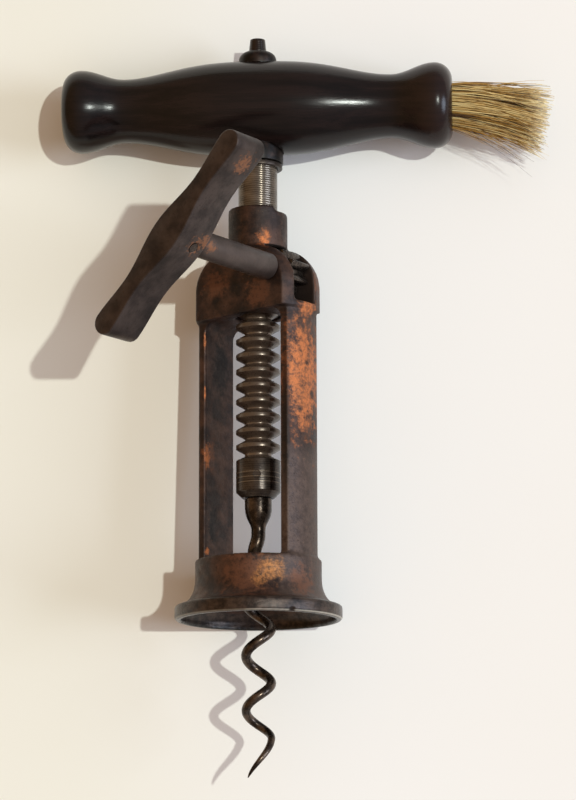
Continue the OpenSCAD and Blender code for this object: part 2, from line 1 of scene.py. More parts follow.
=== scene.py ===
# %% [markdown]
# # A rack corkscrew on a pale table
# The tool is an antique: a bronzed iron frame, a steel spindle whose turned rings make a
# rack, a side crank with a pinion, a wire worm and a dark turned handle with a dusting
# brush in its end. The working model already holds every solid in its true place, so this
# lesson only gives each piece its surface: soft edges, real bristles, a smooth wire, and
# finishes that are made of patterns measured in millimetres.

import math
import random

import bmesh
import bpy
from mathutils import Matrix, Vector


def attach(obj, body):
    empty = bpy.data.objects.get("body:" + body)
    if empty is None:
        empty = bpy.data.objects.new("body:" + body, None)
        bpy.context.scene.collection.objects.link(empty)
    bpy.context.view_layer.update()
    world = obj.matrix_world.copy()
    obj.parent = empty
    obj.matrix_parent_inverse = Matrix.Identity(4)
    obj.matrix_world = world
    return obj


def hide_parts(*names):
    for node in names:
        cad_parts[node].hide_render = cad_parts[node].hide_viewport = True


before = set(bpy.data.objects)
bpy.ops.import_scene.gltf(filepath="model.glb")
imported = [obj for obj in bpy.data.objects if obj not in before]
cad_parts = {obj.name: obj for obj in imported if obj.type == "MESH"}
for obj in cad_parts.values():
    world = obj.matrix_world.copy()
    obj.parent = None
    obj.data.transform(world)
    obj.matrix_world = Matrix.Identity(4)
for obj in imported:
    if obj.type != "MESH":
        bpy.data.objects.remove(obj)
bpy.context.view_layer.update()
MM = 0.001
print("pieces in the working model:", len(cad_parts))

# %% [markdown]
# ## Colours and nodes
# Colours are written as the hex values that a picture shows, and Blender's sockets want
# linear light, so one function converts them. A material is a small network. Building it
# by hand takes many lines, so one function adds any node, sets its properties, and fills
# its sockets with numbers or with links to other nodes.

# %% Helpers for colours and nodes
def paint(hex_colour):
    """Linear red, green, blue and alpha for an sRGB hex colour."""
    parts = [int(hex_colour[i:i + 2], 16) / 255 for i in (1, 3, 5)]
    return [p / 12.92 if p <= 0.04045 else ((p + 0.055) / 1.055) ** 2.4 for p in parts] + [1]


def add(tree, kind, sockets=None, **settings):
    """Add a node. Sockets are filled by name or number, with a value, a node or an output."""
    made = tree.nodes.new("ShaderNode" + kind)
    for name, value in settings.items():
        setattr(made, name, value)
    for key, value in (sockets or {}).items():
        socket = made.inputs[key] if isinstance(key, int) else next(
            s for s in made.inputs if s.enabled and s.name == key)
        if isinstance(value, bpy.types.Node):
            value = next(s for s in value.outputs if s.enabled)
        if isinstance(value, bpy.types.NodeSocket):
            tree.links.new(value, socket)
        else:
            socket.default_value = value
    return made


def new_finish(name):
    """An empty material and its node tree."""
    finish = bpy.data.materials.new(name)
    finish.use_nodes = True
    finish.node_tree.nodes.clear()
    return finish, finish.node_tree


print("copper as linear light:", [round(c, 3) for c in paint("#c2713e")])

# %% [markdown]
# ## Patterns that several finishes share
# Old metal is never one colour. It has broad clouds of patina, fine grit, places that
# hands have rubbed bright, and edges that wear first. A painted image could hold all this,
# but masks between 0 and 1 stay sharp at any size and need no unwrapping. Clouds and grit
# are noise whose scale comes from a size in millimetres. Other masks ask where a point
# lies: along an axis of the tool, or how far from its middle line.

# %% Clouds and places
def clouds(tree, size_mm, detail=4, rough=0.55, stretch=(1, 1, 1), shift=0.0):
    """Noise with blotches of about this size; stretch makes them longer along an axis."""
    scaled = add(tree, "Mapping", {
        "Vector": add(tree, "TexCoord").outputs["Object"], "Location": (shift, shift, shift),
        "Scale": [1 / (size_mm * MM * s) for s in stretch]})
    noise = add(tree, "TexNoise", {
        "Vector": scaled, "Scale": 1.0, "Detail": detail, "Roughness": rough})
    return noise.outputs[0]


def zone(tree, axis, start_mm, end_mm):
    """0 on one side of a place along an axis of the tool and 1 on the other."""
    here = add(tree, "SeparateXYZ", {"Vector": add(tree, "TexCoord").outputs["Object"]})
    return add(tree, "MapRange", {
        "Value": here.outputs[axis], "From Min": start_mm * MM, "From Max": end_mm * MM},
        interpolation_type="SMOOTHSTEP")


def from_axis(tree):
    """Distance of a point from the tool's axis, which is Y."""
    flat = add(tree, "VectorMath", {
        0: add(tree, "TexCoord").outputs["Object"], 1: (1, 0, 1)}, operation="MULTIPLY")
    return add(tree, "VectorMath", {0: flat}, operation="LENGTH").outputs["Value"]


def girth(tree, start_mm, end_mm):
    """A change from 0 to 1 with the distance from the tool's axis."""
    return add(tree, "MapRange", {
        "Value": from_axis(tree), "From Min": start_mm * MM, "From Max": end_mm * MM})


print("noise and places are measured in units of", MM, "m")

# %% [markdown]
# Wear needs two more masks. A rubbed place is strongest at a point and thins out through
# specks. A worn edge is found by comparing the true normal with one that is rounded over a
# short distance: they differ only beside an edge.

# %% Rubbed places and worn edges
# How strong a rubbed place is where its wear starts to show and where it is full
RUB_SHOWS, RUB_FULL = 0.32, 1.15
# How far the two normals agree where an edge's wear starts and where it is full
EDGE_SHOWS, EDGE_FULL = 0.97, 0.80


def rubbed(tree, places, grit, spread):
    """1 at each of some places of the tool, thinning out through specks of grit to 0."""
    here = add(tree, "TexCoord").outputs["Object"]
    nearest = 0.0
    for centre_mm, reach_mm, squash in places:
        centre = [c * MM for c in centre_mm]
        offset = add(tree, "VectorMath", {0: here, 1: centre}, operation="SUBTRACT")
        shaped = add(tree, "VectorMath", {0: offset, 1: squash}, operation="MULTIPLY")
        far = add(tree, "VectorMath", {0: shaped}, operation="LENGTH").outputs["Value"]
        near = add(tree, "MapRange", {"Value": far, "From Min": reach_mm * MM, "From Max": 0.0},
                   interpolation_type="SMOOTHSTEP")
        nearest = add(tree, "Math", {0: nearest, 1: near}, operation="MAXIMUM")
    speckled = add(tree, "Math", {0: grit, 1: spread, 2: nearest}, operation="MULTIPLY_ADD")
    return add(tree, "MapRange", {
        "Value": speckled, "From Min": RUB_SHOWS + spread / 2, "From Max": RUB_FULL + spread / 2},
        interpolation_type="SMOOTHSTEP")


def worn_edge(tree, reach_mm):
    """1 beside an edge and 0 on open surfaces."""
    rounded = add(tree, "Bevel", {"Radius": reach_mm * MM}, samples=6)
    normal = add(tree, "NewGeometry").outputs["Normal"]
    agree = add(tree, "VectorMath", {0: rounded, 1: normal}, operation="DOT_PRODUCT")
    return add(tree, "MapRange", {
        "Value": agree.outputs["Value"], "From Min": EDGE_SHOWS, "From Max": EDGE_FULL},
        interpolation_type="SMOOTHSTEP")


print("an edge counts as worn from", round(math.degrees(math.acos(EDGE_SHOWS))), "degrees")

# %% [markdown]
# Finishes are built as a painter builds them. A coat lays one colour over another where a
# mask allows it. The last function closes the network with a shader: a grain makes the
# surface smoother and duller from spot to spot, and bumps give it a fine relief.

# %% Coats and the shader
# Noise seldom leaves this range
NOISE_LOW, NOISE_HIGH = 0.25, 0.75


def coat(tree, under, over, value, start=0.0, end=1.0, cover=1.0):
    """A colour over another, growing as a value goes from start to end."""
    mask = add(tree, "MapRange", {
        "Value": value, "From Min": start, "From Max": end, "To Max": cover},
        interpolation_type="SMOOTHSTEP")
    below, above = [paint(c) if isinstance(c, str) else c for c in (under, over)]
    return add(tree, "Mix", {"Factor": mask, "A": below, "B": above}, data_type="RGBA")


def surface(tree, colour, grain, smooth, dull, metal, bumps=(), **extra):
    """Close the network: a grain sets the roughness between two values and bumps set the
    relief, as pairs of a height and its depth in millimetres."""
    rough = add(tree, "MapRange", {
        "Value": grain, "From Min": NOISE_LOW, "From Max": NOISE_HIGH,
        "To Min": smooth, "To Max": dull})
    relief = {}
    for height, depth_mm in bumps:
        relief = {"Normal": add(tree, "Bump", {
            "Height": height, "Strength": 1.0, "Distance": depth_mm * MM, **relief})}
    shader = add(tree, "BsdfPrincipled", {
        "Base Color": colour, "Roughness": rough, "Metallic": metal, **relief, **extra})
    add(tree, "OutputMaterial", {"Surface": shader})


print("grain is read between", NOISE_LOW, "and", NOISE_HIGH)

# %% [markdown]
# ## Copies with soft edges
# The working model's solids are exact but knife-edged, and their triangles are loose. A
# modifier on loose triangles would split them, so each solid is copied, its doubles are
# merged, its flat faces are joined, and the sharp edges are bevelled by a fraction of a
# millimetre. The copy then stands in for the solid. A filed or turned edge needs only
# three segments, because the light runs round it in two or three pixels.

# %% Copy, merge and bevel
WELD = 0.001 * MM
FLAT = math.radians(0.4)
SHARP = math.radians(30)


def merged(node):
    """A bmesh of a node of the working model, with its triangles joined up."""
    shape = bmesh.new()
    shape.from_mesh(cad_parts[node].data)
    bmesh.ops.remove_doubles(shape, verts=shape.verts, dist=WELD)
    bmesh.ops.dissolve_limit(shape, angle_limit=FLAT, verts=shape.verts, edges=shape.edges)
    return shape


def soften(shape, edge_mm):
    """Round the sharp edges of a shape."""
    sharp = [e for e in shape.edges if e.is_manifold and e.calc_face_angle() > SHARP]
    bmesh.ops.bevel(shape, geom=sharp, offset=edge_mm * MM, offset_type="OFFSET", affect="EDGES",
                    segments=3, profile=0.5, material=-1, clamp_overlap=False)
    return shape


def finished(shape, name, finish, smooth_below=40):
    """A mesh object from a bmesh, shaded smooth where faces meet below this many degrees."""
    mesh = bpy.data.meshes.new(name)
    shape.to_mesh(mesh)
    shape.free()
    if "custom_normal" in mesh.attributes:
        mesh.attributes.remove(mesh.attributes["custom_normal"])
    mesh.materials.clear()
    mesh.materials.append(finish)
    mesh.shade_smooth()
    mesh.set_sharp_from_angle(angle=math.radians(smooth_below))
    piece = bpy.data.objects.new(name, mesh)
    bpy.context.scene.collection.objects.link(piece)
    print(f"{name}: {len(mesh.polygons)} faces")
    return piece


print("edges count as sharp above", round(math.degrees(SHARP)), "degrees")

# %% [markdown]
# ## The frame's finish: bronzed cast iron
# The frame is sand-cast iron that was bronzed: a thin copper coat, toned dark brown. It
# gives the eye a matt brown skin with near-black clouds, orange copper where hands have
# rubbed it, and grey iron on the rim of the bell, which has met the most bottles. Wear is
# never even, so the worn places are listed one by one.

# %% Where the bronze is worn
# Places on the frame, in millimetres: centre, reach, and how much each axis is shortened
EVEN, TALL, STRIP = (1, 1, 1), (2.4, 1, 2.4), (9, 1, 9)
COPPER_PLACES = [
    ((1.9, 99.8, 7.8), 4.8, EVEN), ((12.8, 62.5, 9.4), 35, (2.1, 1, 2.1)),
    ((13.4, 81.5, 8.8), 8, EVEN), ((-13.4, 18.2, -0.9), 2.2, EVEN),
    ((-14.0, 74, -0.2), 8, STRIP), ((-14.0, 60, -0.4), 5, STRIP), ((-13.6, 44, -1.2), 8, (3, 1, 3)),
]
BROWN_PLACES = [
    ((-10.5, 88, 4.2), 9, EVEN), ((0.5, 84.5, 10.5), 9, EVEN), ((-2, 10, 16), 15, EVEN),
    ((-12.4, 44, -2.4), 9, TALL), ((15.3, 89, 5.3), 9, EVEN), ((12, 9, 12), 10, EVEN),
]
# Near-black places: painted shade in the hollows and on the shaded left side, with soot
SHADE_AND_SOOT_PLACES = [
    ((-5.3, 86.2, 7.3), 5.0, EVEN), ((-10.5, 83.6, 4.2), 4.0, EVEN), ((-6, 104.5, 5), 10, EVEN),
    ((14.4, 58, 6.5), 3.0, EVEN), ((13.4, 66, 8.6), 2.2, EVEN), ((-10.4, 68, -6), 22, TALL),
    ((7.8, 50, 13.4), 46, (14, 1, 14)), ((-3, 79, 7), 6, EVEN), ((-12, 26, -3), 12, TALL),
]
GOLD_PLACES = [((4.6, 11.4, 15.3), 8.0, EVEN), ((1.5, 9, 17), 5, EVEN)]
# The right pillar starts between these, and it is bare below these heights
PILLAR_FROM, PILLAR_FULL = 5, 8
BARE_FROM, BARE_FULL = 48, 38
print("places rubbed to copper:", len(COPPER_PLACES), "and sooty ones:", len(SHADE_AND_SOOT_PLACES))

# %% [markdown]
# The coats go on from the oldest to the newest: toned bronze, brown where it is thin,
# copper and gold where it is rubbed, near-black painted shade and soot in the hollows and on
# the shaded left side, and last the fine specks and the worn edges that lie over everything.

# %% Bronzed skin
bronzed, tree = new_finish("bronzed_cast_iron")
fine = clouds(tree, 0.8, detail=8, rough=0.75)
grit = clouds(tree, 2.2, detail=8, rough=0.72, shift=7.0)
patina = clouds(tree, 6, detail=7, rough=0.66)
colour = coat(tree, "#281c18", "#4f372c", patina, 0.38, 0.66)
# The lower right pillar has lost its copper and is a dull grey brown
low_right = add(tree, "Math", {
    0: zone(tree, "X", PILLAR_FROM, PILLAR_FULL), 1: zone(tree, "Y", BARE_FROM, BARE_FULL)},
    operation="MULTIPLY")
bare = coat(tree, "#3f312b", "#5d4b42", grit, 0.35, 0.65)
colour = coat(tree, colour, bare, low_right, cover=0.9)
colour = coat(tree, colour, "#6d4632", rubbed(tree, BROWN_PLACES, grit, spread=2.4), cover=0.8)
# Copper is never even: small brown spots have grown back over it
spots = clouds(tree, 1.2, detail=6, rough=0.7, shift=4.0)
copper = coat(tree, "#c2713e", "#6a4632", spots, 0.44, 0.64, 0.8)
colour = coat(tree, colour, copper, rubbed(tree, COPPER_PLACES, grit, spread=2.2))
gold = coat(tree, "#a56d3e", "#5a3c26", fine, 0.40, 0.60, 0.85)
colour = coat(tree, colour, gold, rubbed(tree, GOLD_PLACES, grit, spread=2.2))
# Painted shade and soot: near-black over those places
colour = coat(tree, colour, "#191210", rubbed(tree, SHADE_AND_SOOT_PLACES, grit, spread=1.6), cover=0.95)
# Fine dark pits and pale specks lie over everything, and edges are a little worn
colour = coat(tree, colour, "#201612", fine, 0.54, 0.68, 0.75)
colour = coat(tree, colour, "#a87a52", fine, 0.40, 0.26, 0.45)
colour = coat(tree, colour, "#93684c", worn_edge(tree, reach_mm=0.7), cover=0.6)
print("made", bronzed.name, "as far as its skin")

# %% [markdown]
# The slot for the pinion is painted dark, as painted shade in the recess. Its faces could have a
# material of their own, but the casting's skin is rebuilt below and loses its faces, so the place
# decides.
# The slot runs across the arbor, and its walls are found by how far a point lies along the
# arbor's direction. The rim of the bell is rubbed down to iron, and its lip has a painted
# highlight.

# %% Slot, rim and lip
# Direction of the crank's arbor, which leans out of the frame
ARBOR = (-0.515, 0, 0.857)
SLOT_MIDDLE, SLOT_HALF, WALL_FADE = 1.2, 4.2, 0.2
SLOT_LOW, SLOT_HIGH, SLOT_FADE = 82.0, 98.6, 0.6
RIM_TOP, RIM_FADE = 4.4, 0.8
LIP_TOP, LIP_R, LIP_FADE = 0.7, 21.1, 0.5
LIP_DULL_X, LIP_BRIGHT_X = -7, 5


def along_arbor(tree):
    """How far a point lies along the arbor's direction."""
    dot = add(tree, "VectorMath", {
        0: add(tree, "TexCoord").outputs["Object"], 1: ARBOR}, operation="DOT_PRODUCT")
    return dot.outputs["Value"]


off = add(tree, "Math", {0: along_arbor(tree), 1: SLOT_MIDDLE * MM}, operation="SUBTRACT")
between = add(tree, "MapRange", {
    "Value": add(tree, "Math", {0: off}, operation="ABSOLUTE"),
    "From Min": (SLOT_HALF + WALL_FADE) * MM, "From Max": SLOT_HALF * MM})
beside = add(tree, "Math", {
    0: zone(tree, "Y", SLOT_LOW, SLOT_LOW + SLOT_FADE),
    1: zone(tree, "Y", SLOT_HIGH, SLOT_HIGH - SLOT_FADE)}, operation="MULTIPLY")
# Painted shade: the slot's walls are painted dark, where the recess lies in shade
slot_shade = add(tree, "Math", {0: between, 1: beside}, operation="MULTIPLY")
colour = coat(tree, colour, "#3a302b", slot_shade, cover=0.92)

iron = coat(tree, "#201815", "#4b3d35", grit, 0.36, 0.66)
lip = add(tree, "Math", {
    0: zone(tree, "Y", LIP_TOP, LIP_TOP - LIP_FADE), 1: girth(tree, LIP_R, LIP_R + LIP_FADE)},
    operation="MULTIPLY")
# A painted highlight along the lip, brightest on its right
lip_highlight = coat(tree, "#8d8478", "#e2dbcd", zone(tree, "X", LIP_DULL_X, LIP_BRIGHT_X))
iron = coat(tree, iron, lip_highlight, lip, cover=0.85)
rim = zone(tree, "Y", RIM_TOP, RIM_TOP - RIM_FADE)
colour = coat(tree, colour, iron, rim)
print("added slot, rim and lip:", len(tree.nodes), "nodes")

# %% [markdown]
# The bell's mouth is dark grey inside. Its wall is a cone that narrows upwards to the throat, so a
# point is inside where its distance from the axis, plus a share of its height, stays below
# the mouth's radius. The rim has one small nick, which is dark. Then the network is closed,
# with the rim rubbed smoother than the rest.

# %% Mouth, nick and shader
MOUTH_R, MOUTH_FADE, MOUTH_TAPER = 20.9, 0.6, 0.94
THROAT_R, THROAT_FADE = 12.6, 0.3
MOUTH_TOP, MOUTH_TOP_FADE = 15, 1
NICK, NICK_DARK_REACH = (9.9, 0.2, 19.4), 2.0
RIM_GRAIN = 0.45

# Darker round the nick
nick_darkening = rubbed(tree, [(NICK, NICK_DARK_REACH, EVEN)], grit, spread=0.4)
colour = coat(tree, colour, "#120d0b", nick_darkening)
place = add(tree, "SeparateXYZ", {"Vector": add(tree, "TexCoord").outputs["Object"]})
cone = add(tree, "Math", {
    0: place.outputs["Y"], 1: MOUTH_TAPER, 2: from_axis(tree)}, operation="MULTIPLY_ADD")
inside = add(tree, "MapRange", {
    "Value": cone, "From Min": MOUTH_R * MM, "From Max": (MOUTH_R - MOUTH_FADE) * MM})
throat = girth(tree, THROAT_R, THROAT_R - THROAT_FADE)
hollow = add(tree, "Math", {0: inside, 1: throat}, operation="MAXIMUM")
mouth = add(tree, "Math", {
    0: hollow, 1: zone(tree, "Y", MOUTH_TOP, MOUTH_TOP - MOUTH_TOP_FADE)}, operation="MULTIPLY")
colour = coat(tree, colour, coat(tree, "#141312", "#3b3835", grit, 0.3, 0.7), mouth)
polish = add(tree, "MapRange", {"Value": rim, "To Min": 1.0, "To Max": RIM_GRAIN})
grain = add(tree, "Math", {0: grit, 1: polish}, operation="MULTIPLY")
surface(tree, colour, grain, smooth=0.29, dull=0.66, metal=0.55,
        bumps=[(fine, 0.08), (patina, 0.15)])
print("closed", bronzed.name, "with", len(tree.nodes), "nodes")

# %% [markdown]
# ## The frame
# Sand casting rounds every edge and fills every corner. A bevel would round the edges
# only, so the copy goes through a voxel remesh, which rebuilds the skin from small cells,
# and a smooth, which melts edges and corners alike over about half a millimetre.

# %% Cast frame
CELL, MELT_SHARE, MELT_TIMES = 0.44, 0.5, 5
# Limit for smooth shading, in degrees, of a form with no true edge
ALL_SMOOTH = 180
casting = finished(merged("frame"), "cast_frame", bronzed, ALL_SMOOTH)
cells = casting.modifiers.new("sand", "REMESH")
cells.mode = "VOXEL"
cells.voxel_size = CELL * MM
cells.use_smooth_shade = True
melt = casting.modifiers.new("melt", "SMOOTH")
melt.factor = MELT_SHARE
melt.iterations = MELT_TIMES
depsgraph = bpy.context.evaluated_depsgraph_get()
skin = bpy.data.meshes.new_from_object(casting.evaluated_get(depsgraph))
casting.modifiers.clear()
casting.data = skin
print("cast skin:", len(skin.polygons), "faces")

# %% [markdown]
# The nick is a real dent. Cutting it with another solid would leave a hard edge, so the
# points near its centre are pushed in along their normals, less and less towards its edge.

# %% The nick in the rim
NICK_REACH, NICK_DEPTH = 1.0, 0.7
dented = bmesh.new()
dented.from_mesh(skin)
struck = [v for v in dented.verts if (v.co / MM - Vector(NICK)).length < NICK_REACH]
for v in struck:
    near = 1 - (v.co / MM - Vector(NICK)).length / NICK_REACH
    bmesh.ops.translate(dented, verts=[v], vec=v.normal * (-NICK_DEPTH * near * MM))
print("nick:", len(struck), "points pushed in")
dented.to_mesh(skin)
dented.free()
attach(casting, "frame")
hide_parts("frame")

# %% [markdown]
# ## The spindle
# One steel bar carries everything that slides: a bright shank, a rack of turned rings and
# a plain socket. It gives the eye a dull brown steel whose ring tips and shank catch thin
# lines of light. It is one piece, so it has one finish, and masks divide it: the distance
# from the tool's axis for the rings, and the height for the stretches of the bar.

# %% Turned spindle steel
# Lathe marks are about a tenth of a millimetre apart; these are drawn coarser, to show
LATHE_MARKS = 0.6
# A wave texture has a band every tau / 20 of its unit, so this scale gives one a unit
ONE_BAND = math.tau / 20
GROOVE_R, FLANK_R, LAND_R, TIP_R = 3.6, 4.5, 5.64, 5.76
SOCKET_TOP, SHANK_LOW, STRETCH_FADE = 42.4, 106.6, 0.8
SCRIBED_LINES, LINE_HALF = (38.3, 37.0, 35.7), 0.2
STUD_LOW, STUD_FADE = 132, 2


def windings(tree, spacing_mm, axis, wobble):
    """Fine rings along an axis of the tool, this far apart and not quite even."""
    scaled = add(tree, "Mapping", {
        "Vector": add(tree, "TexCoord").outputs["Object"], "Scale": [1 / (spacing_mm * MM)] * 3})
    wave = add(tree, "TexWave", {
        "Vector": scaled, "Scale": ONE_BAND, "Distortion": wobble}, bands_direction=axis)
    return wave.outputs["Fac"]


turned, tree = new_finish("turned_spindle_steel")
grit = clouds(tree, 0.8, detail=6, rough=0.65)
haze = clouds(tree, 4, detail=5, stretch=(1, 0.4, 1))
lathe = windings(tree, LATHE_MARKS, "Y", wobble=0.6)
rings = coat(tree, "#7a6b5f", "#66584e", girth(tree, GROOVE_R, FLANK_R))
rings = coat(tree, rings, "#2c221d", haze, 0.45, 0.7, 0.5)
rings = coat(tree, rings, "#64584e", girth(tree, LAND_R, TIP_R))
plain = coat(tree, "#2b231f", "#443a33", haze, 0.35, 0.65)
plain = coat(tree, plain, "#5a5047", lathe, cover=0.3)
for line in SCRIBED_LINES:
    scribed = add(tree, "Math", {
        0: zone(tree, "Y", line - LINE_HALF, line), 1: zone(tree, "Y", line + LINE_HALF, line)},
        operation="MULTIPLY")
    plain = coat(tree, plain, "#85786a", scribed, cover=0.7)
colour = coat(tree, rings, plain, zone(tree, "Y", SOCKET_TOP, SOCKET_TOP - STRETCH_FADE))
bright = coat(tree, "#4d4339", "#685c50", haze, 0.35, 0.65)
bright = coat(tree, bright, "#8a7d6d", lathe, cover=0.3)
on_shank = zone(tree, "Y", SHANK_LOW, SHANK_LOW + STRETCH_FADE)
colour = coat(tree, colour, bright, on_shank)
stud = coat(tree, "#16110f", "#352a24", grit)
colour = coat(tree, colour, stud, zone(tree, "Y", STUD_LOW, STUD_LOW + STUD_FADE))
# The shank is polished by the collar: no grain, but grooves that draw the light out in a line
below_shank = zone(tree, "Y", SHANK_LOW + STRETCH_FADE, SHANK_LOW)
grain = add(tree, "Math", {0: grit, 1: below_shank}, operation="MULTIPLY")
grooves = add(tree, "Math", {0: lathe, 1: on_shank}, operation="MULTIPLY")
surface(tree, colour, grain, smooth=0.22, dull=0.38, metal=0.55,
        bumps=[(grooves, 0.035), (lathe, 0.005), (grain, 0.02)])
print("made", turned.name)

# %% [markdown]
# The rings' flanks are straight cones that meet at blunt angles. Smooth shading would melt
# them together, so its limit is low here.

# %% Spindle shape
softened = soften(merged("rack_spindle"), edge_mm=0.12)
spindle = finished(softened, "turned_spindle", turned, smooth_below=15)
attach(spindle, "screw")
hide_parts("rack_spindle")

# %% [markdown]
# ## The worm
# The worm is round wire, forged to a taper and wound on a mandrel. Its steel gives the eye
# a brown-black skin with small sharp highlights, where corks have polished it. Forging
# leaves scale, so the broad noise gives tone and relief together.

# %% Worm steel
forged, tree = new_finish("dark_forged_wire")
grit = clouds(tree, 0.7, detail=6, rough=0.65)
scale_marks = clouds(tree, 3.0, detail=5)
colour = coat(tree, "#2a221d", "#594b40", scale_marks, 0.38, 0.68)
colour = coat(tree, colour, "#75665a", grit, 0.56, 0.74, 0.6)
surface(tree, colour, grit, smooth=0.18, dull=0.36, metal=0.8,
        bumps=[(grit, 0.02), (scale_marks, 0.06)])
print("made", forged.name)

# %% [markdown]
# The wire leaves the spindle as a neck, slims down, and swings out into a coil that grows
# thinner towards its point. One function says where its middle is at a height, and how
# thick it is there. The last part turn is stretched towards the point.

# %% Where the wire runs
# Heights of the neck, the start of the wire and the point, in millimetres
NECK_TOP, WORM_TOP, WORM_POINT = 31.65, 23.7, -40.5
NECK_R, WIRE_TOP_R, WIRE_R = 3.55, 1.85, 1.3
# The coil widens over a ramp, and it stands furthest right at one known height
COIL_R, COIL_RAMP, PITCH, FIRST_RIGHT = 3.25, 14, 14.1, -2.2
WHOLE_TURNS, LAST_TURN = 2, 145
LAST_TURN_FROM = FIRST_RIGHT - WHOLE_TURNS * PITCH
# The point is blunt: the least share of the wire's section that is left there
BLUNT = 0.003


def ease(share):
    """A slow start and a slow end between 0 and 1."""
    return (1 - math.cos(math.pi * min(max(share, 0), 1))) / 2


def worm_station(y):
    """Centre and radius of the wire at a height in millimetres."""
    if y > LAST_TURN_FROM:
        turn = 360 * (FIRST_RIGHT - y) / PITCH
    else:
        share = (LAST_TURN_FROM - y) / (LAST_TURN_FROM - WORM_POINT)
        turn = 360 * WHOLE_TURNS + LAST_TURN * share
    coil = COIL_R * ease((WORM_TOP - y) / COIL_RAMP)
    angle = math.radians(turn)
    centre = Vector((coil * math.cos(angle), y, coil * math.sin(angle)))
    if y > WORM_TOP:
        share = (NECK_TOP - y) / (NECK_TOP - WORM_TOP)
        thick = NECK_R + (WIRE_TOP_R - NECK_R) * ease(share * share)
    elif y > 0:
        thick = WIRE_TOP_R + (WIRE_R - WIRE_TOP_R) * ease((WORM_TOP - y) / WORM_TOP)
    else:
        thick = WIRE_R * math.sqrt(max(1 - (y / WORM_POINT) ** 3, BLUNT))
    return centre, thick


print("wire in mm across at the bell's mouth:", round(2 * worm_station(0)[1], 2))

# %% [markdown]
# A curve with a bevel could draw the wire, but a mesh keeps the rings of points where they
# are wanted. So a circle is carried from station to station: each step extrudes the last
# ring and moves it to the next place, square to the way the wire runs.

# %% Carry a circle along the wire
PLUG_TOP, PLUG_LOW, PLUG_R = 36.4, 31.9, 2.5
WORM_STEP, WORM_SIDES = 0.45, 18


def swept(stations, sides):
    """A closed tube through stations of a centre and a radius, both in millimetres."""
    shape = bmesh.new()
    place = Matrix.Identity(4)
    ring = bmesh.ops.create_circle(shape, cap_ends=True, radius=1, segments=sides)["verts"]
    for i, (centre, thick) in enumerate(stations):
        ahead = stations[min(i + 1, len(stations) - 1)][0] - stations[max(i - 1, 0)][0]
        side = ahead.cross(Vector((1, 0, 0))).normalized()
        axes = (side, ahead.normalized().cross(side), ahead.normalized())
        turn = Matrix(axes).transposed().to_4x4()
        there = Matrix.Translation(centre * MM) @ turn @ Matrix.Scale(thick * MM, 4)
        if i:
            last = [e for e in shape.edges if e.verts[0] in ring and e.verts[1] in ring]
            grown = bmesh.ops.extrude_edge_only(shape, edges=last)["geom"]
            ring = [g for g in grown if isinstance(g, bmesh.types.BMVert)]
        bmesh.ops.transform(shape, matrix=there @ place.inverted(), verts=ring)
        place = there
    bmesh.ops.contextual_create(shape, geom=ring)
    bmesh.ops.recalc_face_normals(shape, faces=shape.faces)
    return shape


steps = int((NECK_TOP - WORM_POINT) / WORM_STEP)
heights = [NECK_TOP - (NECK_TOP - WORM_POINT) * i / steps for i in range(steps + 1)]
# The plug in the spindle's socket comes first; it ends just short of its cross pin
stations = [(Vector((0, PLUG_TOP, 0)), PLUG_R), (Vector((0, PLUG_LOW, 0)), PLUG_R)]
stations += [worm_station(y) for y in heights]
worm = finished(swept(stations, WORM_SIDES), "wound_worm", forged)
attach(worm, "screw")
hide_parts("worm")

# %% [markdown]
# ## The handle
# The handle was turned from a dark tropical hardwood and polished. It gives the eye a
# brown-black surface with hard small highlights. Growth rings could be drawn, but on so
# dark a wood only its pores and a faint figure show. Both run along the grain, so their
# noise is stretched far along the handle.

# %% Polished dark hardwood
REDDER_FROM, REDDER_FULL = 34, 48
hardwood, tree = new_finish("polished_dark_hardwood")
pores = clouds(tree, 0.45, detail=5, stretch=(26, 1, 1))
figure = clouds(tree, 2.6, detail=6, rough=0.65, stretch=(18, 1, 1), shift=2.0)
hand = clouds(tree, 9, detail=4, stretch=(4, 1, 1))
colour = coat(tree, "#0f0a09", "#1e1412", figure, 0.35, 0.68)
colour = coat(tree, colour, "#0e0908", pores, 0.54, 0.72, 0.7)
# The brush end has been handled most and is a little redder
redder = coat(tree, "#1a1210", "#2d1d18", figure)
colour = coat(tree, colour, redder, zone(tree, "X", REDDER_FROM, REDDER_FULL), cover=0.8)
surface(tree, colour, hand, smooth=0.15, dull=0.27, metal=0.0,
        bumps=[(pores, 0.02), (hand, 0.05)], **{"Specular IOR Level": 0.25})
print("made", hardwood.name)

# %% [markdown]
# The working model already has the handle's turned outline, so only its few edges are
# softened.

# %% Handle shape
grip = finished(soften(merged("handle"), edge_mm=0.3), "turned_handle", hardwood)
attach(grip, "screw")
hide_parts("handle")

# %% [markdown]
# ## Ferrule and washers
# The small turned rings round the spindle are blackened steel. It gives the eye a near
# black with a brown cast that is bright only along the edges. One finish serves all three,
# so a loop makes them.

# %% Blackened steel
WASHER_TOP, WASHER_FADE = 121.5, 0.1
blackened, tree = new_finish("blackened_steel")
grit = clouds(tree, 0.9, detail=5)
rust = clouds(tree, 3.5, detail=5, shift=5.0)
colour = coat(tree, "#15110f", "#34261f", rust, 0.45, 0.7)
